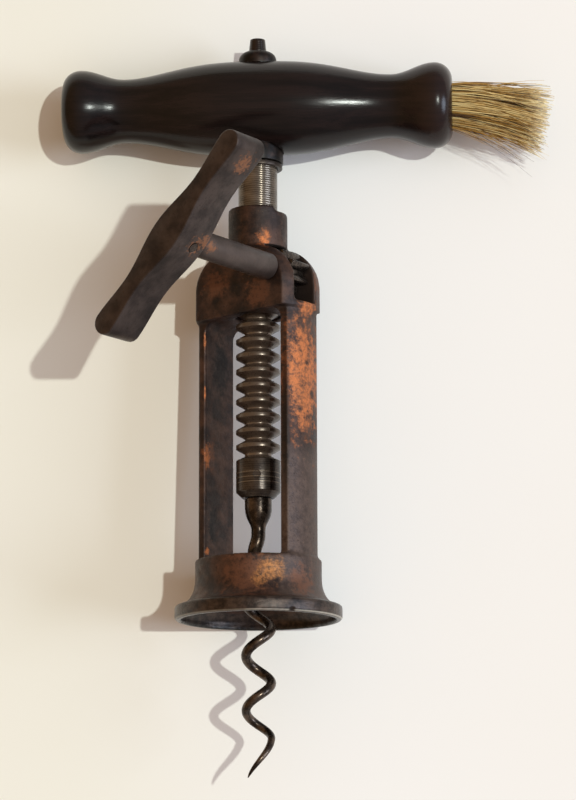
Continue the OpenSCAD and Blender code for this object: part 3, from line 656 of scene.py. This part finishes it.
# The loose washer, which is the lowest of them, has been rubbed brown
on_washer = zone(tree, "Y", WASHER_TOP, WASHER_TOP - WASHER_FADE)
colour = coat(tree, colour, "#3d332c", on_washer, cover=0.85)
colour = coat(tree, colour, "#5f4f44", worn_edge(tree, reach_mm=0.5), cover=0.8)
surface(tree, colour, grit, smooth=0.3, dull=0.5, metal=0.7, bumps=[(grit, 0.03)])
for node, name, body in [("thrust_washer", "loose_washer", "lift"),
                         ("ferrule", "steel_ferrule", "screw"),
                         ("top_washer", "domed_washer", "screw")]:
    ring = finished(soften(merged(node), edge_mm=0.2), name, blackened)
    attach(ring, body)
    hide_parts(node)

# %% [markdown]
# ## The crank
# The crank and its arbor are forged steel, browned like a gun barrel. It gives the eye
# broad dark faces with edges that are rubbed grey, and copper where the bronzing reached
# it: on the upper arm, round the hub's pin and at the end of the arbor. The copper is
# placed by rubbed places, as on the frame.

# %% Browned steel
# The lever starts at this distance along the arbor
LEVER_FROM, LEVER_FADE = 41, 3
CRANK_COPPER = [
    ((0.2, 106.7, 54.6), 6.0, EVEN), ((-13.4, 89.3, 45.2), 6.2, EVEN),
    ((-10.6, 90.2, 43.9), 4.2, EVEN), ((-9.0, 89.6, 39.4), 4.0, EVEN),
]
browned, tree = new_finish("browned_steel")
grit = clouds(tree, 1.0, detail=8, rough=0.72)
patina = clouds(tree, 6, detail=6, shift=1.5)
colour = coat(tree, "#2d2421", "#4a3e39", patina, 0.35, 0.68)
colour = coat(tree, colour, "#211917", grit, 0.54, 0.68, 0.6)
# The arbor is rubbed paler than the lever at its end
colour = coat(tree, colour, "#6b5d56", along_arbor(tree),
              LEVER_FROM * MM, (LEVER_FROM - LEVER_FADE) * MM, 0.35)
colour = coat(tree, colour, "#8f5e40", rubbed(tree, CRANK_COPPER, grit, spread=3.4), cover=0.85)
colour = coat(tree, colour, "#85766b", worn_edge(tree, reach_mm=0.8), cover=0.6)
surface(tree, colour, grit, smooth=0.36, dull=0.55, metal=0.7,
        bumps=[(grit, 0.05), (patina, 0.1)])
for node, name, edge_mm in [("crank_arbor", "round_arbor", 0.25),
                            ("crank_lever", "forged_crank", 0.4)]:
    bar = finished(soften(merged(node), edge_mm), name, browned)
    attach(bar, "crank")
    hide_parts(node)

# %% [markdown]
# ## Pinion and pins
# The pinion is cut steel. It gives the eye dark oily faces and bright lines along its
# teeth: painted highlights on its worn edges. Those lines follow the edges, so the worn edge draws
# them, and its reach is short.

# %% Cut pinion steel
cut_steel, tree = new_finish("cut_pinion_steel")
grit = clouds(tree, 0.8, detail=5)
colour = coat(tree, "#332c28", "#574d45", grit, 0.35, 0.7)
# Painted highlights along the worn edges of the teeth
colour = coat(tree, colour, "#c4bbad", worn_edge(tree, reach_mm=0.3))
surface(tree, colour, grit, smooth=0.2, dull=0.34, metal=0.85, bumps=[(grit, 0.01)])
gear = finished(soften(merged("pinion"), edge_mm=0.15), "cut_pinion", cut_steel, smooth_below=25)
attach(gear, "crank")
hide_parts("pinion")

# %% [markdown]
# The pins are drawn wire, filed flush, and give the eye dull grey brown discs. Soft edges
# would not show on them, so the working model's own pins are kept and only get a finish.

# %% Drawn pins
def recoat(node, finish):
    """Give a solid of the working model its finish and keep it as it is."""
    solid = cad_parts[node]
    solid.data.materials.clear()
    solid.data.materials.append(finish)
    print(f"{node}: kept, with {finish.name}")


drawn, tree = new_finish("drawn_pin_steel")
grit = clouds(tree, 0.6, detail=5)
colour = coat(tree, "#2c231f", "#52453c", grit, 0.35, 0.7)
surface(tree, colour, grit, smooth=0.3, dull=0.5, metal=0.75, bumps=[(grit, 0.03)])
for node in ("pinion_pin", "crank_pin"):
    recoat(node, drawn)
# The worm's pin was turned down with the spindle, so it has the same skin and hardly shows
recoat("worm_pin", turned)

# %% [markdown]
# ## The dusting brush
# A tuft of hog bristle is bound with thread and set in pitch in the handle's end. Hog
# bristle gives the eye hairs from dark brown to pale straw, with bleached tips, so each
# bristle carries its own tone as a number on its points. The thread, a dull linen, and the
# pitch, a black gloss, are hardly seen between the roots.

# %% Bristle, twine and pitch
BLEACHED_FROM, BLEACHED_FULL = 68, 79
TWINE = 0.5
straw, tree = new_finish("hog_bristle")
strand = add(tree, "Attribute", attribute_name="strand").outputs["Fac"]
run = clouds(tree, 0.9, detail=3, stretch=(7, 1, 1))
colour = coat(tree, "#3f2814", "#b98a38", strand, 0.05, 0.45)
colour = coat(tree, colour, "#efd695", strand, 0.5, 0.95)
colour = coat(tree, colour, "#8f652c", run, 0.55, 0.8, 0.5)
colour = coat(tree, colour, "#f1e2bd", zone(tree, "X", BLEACHED_FROM, BLEACHED_FULL), cover=0.35)
surface(tree, colour, run, smooth=0.38, dull=0.58, metal=0.0, bumps=[(run, 0.02)])

twine, tree = new_finish("linen_twine")
lay = windings(tree, TWINE, "X", wobble=1.0)
colour = coat(tree, "#4a3820", "#a08a5c", lay)
surface(tree, colour, lay, smooth=0.7, dull=0.85, metal=0.0, bumps=[(lay, 0.1)])

pitch, tree = new_finish("set_pitch")
lumps = clouds(tree, 1.5, detail=3)
colour = coat(tree, "#0b0807", "#221711", lumps)
surface(tree, colour, lumps, smooth=0.2, dull=0.4, metal=0.0, bumps=[(lumps, 0.1)])
recoat("tuft_binding", twine)
recoat("pitch_plug", pitch)

# %% [markdown]
# The bristles leave the hole side by side, fan out and hang a little. Blender's hair could
# grow them, but plain meshes are handed on as they are. So one straight bristle is made
# from a cone, and each copy of it is bent from its place in the hole to its tip. It wanders
# off at its tip, and it is bowed and waved on the way.

# %% One bristle and how it is bent
ROOT_X, TIP_X, AXIS_Y = 46.2, 79.2, 136.89
ROOT_R, BRISTLE_R = 5.2, 0.13
FAN_ALONG, FAN_DOWN, DROOP, SAG = 1.9, 1.35, 6.0, 2.5
# A bristle one unit long: half of that, its sides, how thick its tip is, and its cuts
HALF_LENGTH, SIDES, TIP_SHARE, CUTS = 0.5, 4, 0.45, 6

straight = bmesh.new()
bmesh.ops.create_cone(straight, cap_ends=True, segments=SIDES, radius1=1, radius2=TIP_SHARE,
                      depth=1, matrix=Matrix.Translation((0, 0, HALF_LENGTH)))
long_edges = [e for e in straight.edges
              if abs(e.verts[0].co.z - e.verts[1].co.z) > HALF_LENGTH]
bmesh.ops.subdivide_edges(straight, edges=long_edges, cuts=CUTS)
one = bpy.data.meshes.new("one_bristle")
straight.to_mesh(one)
straight.free()

tuft = bmesh.new()
tone = tuft.verts.layers.float.new("strand")


def grow(along, deep, reach, wander, bows, shade, thick):
    """Add one bristle from its place in the hole to its tip; places and sizes in millimetres.
    It wanders at its tip, and it is bowed sideways, waved sideways and bowed in depth."""
    before = len(tuft.verts)
    tuft.from_mesh(one)
    tuft.verts.ensure_lookup_table()
    for v in tuft.verts[before:]:
        s = v.co.z * reach
        y = ROOT_R * along * (1 + (FAN_ALONG - 1) * s * s) + (wander[0] - DROOP) * s * s
        z = ROOT_R * deep * (1 + (FAN_DOWN - 1) * s * s) + (wander[1] - SAG) * s * s
        y += bows[0] * math.sin(math.pi * s) + bows[1] * math.sin(math.tau * s)
        z += bows[2] * math.sin(math.pi * s)
        x = ROOT_X + (TIP_X - ROOT_X) * s
        v.co = Vector((x, AXIS_Y + y + v.co.x * thick, z + v.co.y * thick)) * MM
        v[tone] = shade


print("one bristle:", len(one.polygons), "faces")

# %% [markdown]
# Bristles stick together in locks, so each follows the middle of its lock part of the way.
# The locks' middles are spread evenly over the hole by the golden angle, as seeds are in a
# sunflower. The draws are seeded, so the tuft is the same every time.

# %% Locks
LOCKS, PER_LOCK = 90, 10
GOLDEN_ANGLE = 2.39996
# Locks on the lower side are shorter, by this share of the length
SHORT_BELOW = 0.05
# Spreads of the draws, in millimetres: the wander at the tip and the bows, as in grow
LOCK_WANDER, HAIR_WANDER, HAIR_BOWS = (1.1, 0.6), 0.9, (0.6, 0.3, 0.4)
# Spread of a lock's bristles over the hole, as a share of its radius
LOCK_WIDTH = 0.09
# Shares of the full length, tones and shares of a bristle's thickness, from and to
LOCK_REACH, HAIR_REACH = (0.94, 1.0), (0.86, 1.0)
LOCK_SHADE, HAIR_SHADE_SPREAD = (0.1, 0.9), 0.3
HAIR_THICK = (0.75, 1.25)
chance = random.Random(7)

for lock in range(LOCKS):
    out = math.sqrt((lock + 0.5) / LOCKS)
    around = lock * GOLDEN_ANGLE
    middle = Vector((out * math.cos(around), out * math.sin(around)))
    lock_wander = [chance.gauss(0, size) for size in LOCK_WANDER]
    lock_reach = chance.uniform(*LOCK_REACH) - SHORT_BELOW * (1 - middle.x)
    lock_shade = chance.uniform(*LOCK_SHADE)
    for hair in range(PER_LOCK):
        spot = middle + Vector((chance.gauss(0, LOCK_WIDTH), chance.gauss(0, LOCK_WIDTH)))
        if spot.length > 1:
            spot.normalize()
        wander = [w + chance.gauss(0, HAIR_WANDER) for w in lock_wander]
        bows = [chance.gauss(0, size) for size in HAIR_BOWS]
        reach = lock_reach * chance.uniform(*HAIR_REACH)
        shade = min(max(lock_shade + chance.gauss(0, HAIR_SHADE_SPREAD), 0), 1)
        grow(spot.x, spot.y, reach, wander, bows, shade, BRISTLE_R * chance.uniform(*HAIR_THICK))
print("bristles in locks:", LOCKS * PER_LOCK)

# %% [markdown]
# No old brush is tidy. Strays leave from the rim of the hole, and a few hairs have worked
# loose and hang from the tuft's lower side. They are thinner than the rest, so that they
# are seen as single hairs.

# %% Strays and loose hairs
STRAYS, LOOSE = 56, 34
# Wander and bows as above, some of them as a middle and a spread
STRAY_WANDER, STRAY_BOWS = ((-1.5, 3.0), (-0.5, 1.2)), (0.9, 0.6, 0.5)
LOOSE_WANDER, LOOSE_BOWS = ((-7.5, 2.5), (0, 1.0)), ((-1.2, 0.9), (0, 0.8), (0, 0.5))
STRAY_REACH, STRAY_SHADE, STRAY_THICK = (0.5, 0.96), (0.3, 1.0), 0.6
LOOSE_REACH, LOOSE_SHADE, LOOSE_THICK = (0.35, 0.85), (0.0, 0.6), 0.55
# Where the loose hairs leave the hole, as shares of its radius
LOOSE_ALONG, LOOSE_DEEP = (-1, -0.7), (-0.7, 0.4)

for stray in range(STRAYS):
    around = chance.uniform(0, math.tau)
    wander = [chance.gauss(middle, size) for middle, size in STRAY_WANDER]
    bows = [chance.gauss(0, size) for size in STRAY_BOWS]
    grow(math.cos(around), math.sin(around), chance.uniform(*STRAY_REACH), wander, bows,
         chance.uniform(*STRAY_SHADE), BRISTLE_R * STRAY_THICK)
for loose in range(LOOSE):
    wander = [chance.gauss(middle, size) for middle, size in LOOSE_WANDER]
    bows = [chance.gauss(middle, size) for middle, size in LOOSE_BOWS]
    grow(chance.uniform(*LOOSE_ALONG), chance.uniform(*LOOSE_DEEP), chance.uniform(*LOOSE_REACH),
         wander, bows, chance.uniform(*LOOSE_SHADE), BRISTLE_R * LOOSE_THICK)
bpy.data.meshes.remove(one)
bmesh.ops.recalc_face_normals(tuft, faces=tuft.faces)
brush = finished(tuft, "bristle_brush", straw, ALL_SMOOTH)
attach(brush, "screw")
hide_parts("bristle_tuft")

# %% [markdown]
# ## The table
# The tool lies on a pale table. It rests on the bell's rim and on the handle's belly, so
# the table slopes a little against the tool's axis. Its paint gives the eye a matt white,
# which is painted a little darker and yellower on the left, as a painted fall-off of the
# light there. One large face is enough, because its edges are out of the picture.

# %% Table
TABLE_HALF = 4000
# Painted light: the table's white is painted darker and yellower from the first place leftwards,
# full white from the second
DIM_LEFT_X, LIT_RIGHT_X = -90, 50
LOW_AT_BELL, LOW_AT_HANDLE, HANDLE_Y = -21.75, -12.65, 136.9
table_finish, tree = new_finish("pale_painted_table")
mottle = clouds(tree, 60, detail=3)
colour = coat(tree, "#f2efe2", "#f8f6f3", zone(tree, "X", DIM_LEFT_X, LIT_RIGHT_X))
colour = coat(tree, colour, "#f6f2ec", mottle, 0.3, 0.7, 0.2)
surface(tree, colour, mottle, smooth=0.85, dull=0.95, metal=0.0, **{"Specular IOR Level": 0.2})
slope = math.atan2(LOW_AT_HANDLE - LOW_AT_BELL, HANDLE_Y)
lie = Matrix.Translation((0, 0, LOW_AT_BELL * MM)) @ Matrix.Rotation(slope, 4, "X")
table_shape = bmesh.new()
bmesh.ops.create_grid(table_shape, x_segments=1, y_segments=1, size=TABLE_HALF * MM, matrix=lie)
table = finished(table_shape, "table", table_finish)

# %% [markdown]
# ## The light
# The room gives a soft light from all round, a little stronger from the ceiling than from
# the walls and warmer from the left. One small lamp stands high on the right and draws the
# clear shadows. A wide, cool window light comes in low from the right and softens them.
# Lamps near the tool would burn the table beside them, so both are made far ones.

# %% Light
WALL_LIGHT, CEILING_LIGHT = 0.36, 0.55
world = bpy.data.worlds.new("pale_room")
bpy.context.scene.world = world
world.use_nodes = True
world.node_tree.nodes.clear()
tree = world.node_tree
way = add(tree, "SeparateXYZ", {"Vector": add(tree, "TexCoord").outputs["Generated"]})
dim = add(tree, "MapRange", {
    "Value": way.outputs["Z"], "To Min": WALL_LIGHT, "To Max": CEILING_LIGHT})
walls = coat(tree, "#ffcb8e", "#e8ecfa", way.outputs["X"], -0.8, 0.8)
sky = add(tree, "Background", {"Color": walls, "Strength": dim})
add(tree, "OutputWorld", {"Surface": sky})


def lamp(name, towards, width_degrees, strength, hex_colour):
    """A far lamp in a direction from the tool, as wide in the sky as the given angle."""
    light = bpy.data.lights.new(name, "SUN")
    light.angle, light.energy = math.radians(width_degrees), strength
    light.color = paint(hex_colour)[:3]
    holder = bpy.data.objects.new(name, light)
    holder.location = Vector(towards).normalized()
    holder.rotation_mode = "QUATERNION"
    holder.rotation_quaternion = holder.location.to_track_quat("Z", "Y")
    bpy.context.scene.collection.objects.link(holder)
    print(name, "towards", [round(v, 2) for v in holder.location])


lamp("desk_lamp", (0.43, -0.01, 1.0), width_degrees=1.2, strength=1.45, hex_colour="#f6fdf5")
lamp("window", (1.0, -0.1, 0.5), width_degrees=28, strength=1.75, hex_colour="#dcebff")

# %% [markdown]
# ## The camera
# The camera looks down with a long lens from less than a metre away, turned so that the
# tool stands as it does in the picture. A constraint could aim it, but it would not turn
# it, so its three axes are written out: a camera looks along its own -Z with +Y up.

# %% Camera
LENS, SENSOR = 146.5, 36.0
# Places and distances of the camera are in metres
NEAREST, FARTHEST = 0.01, 20
EYE = Vector((0.05719, -0.10534, 0.83272))
RIGHT = Vector((0.99820, -0.00335, -0.05987))
UP = Vector((0.01477, 0.98138, 0.19150))
BACK = Vector((0.05811, -0.19204, 0.97967))
view = bpy.data.cameras.new("camera")
view.lens, view.sensor_fit, view.sensor_height = LENS, "VERTICAL", SENSOR
view.clip_start, view.clip_end = NEAREST, FARTHEST
camera = bpy.data.objects.new("camera", view)
turn = Matrix((RIGHT, UP, BACK)).transposed().to_4x4()
camera.matrix_world = Matrix.Translation(EYE) @ turn
bpy.context.scene.collection.objects.link(camera)
bpy.context.scene.camera = camera
bpy.context.scene.view_settings.view_transform = "Standard"
print("camera stands", round(EYE.length / MM), "mm from the bell's mouth")
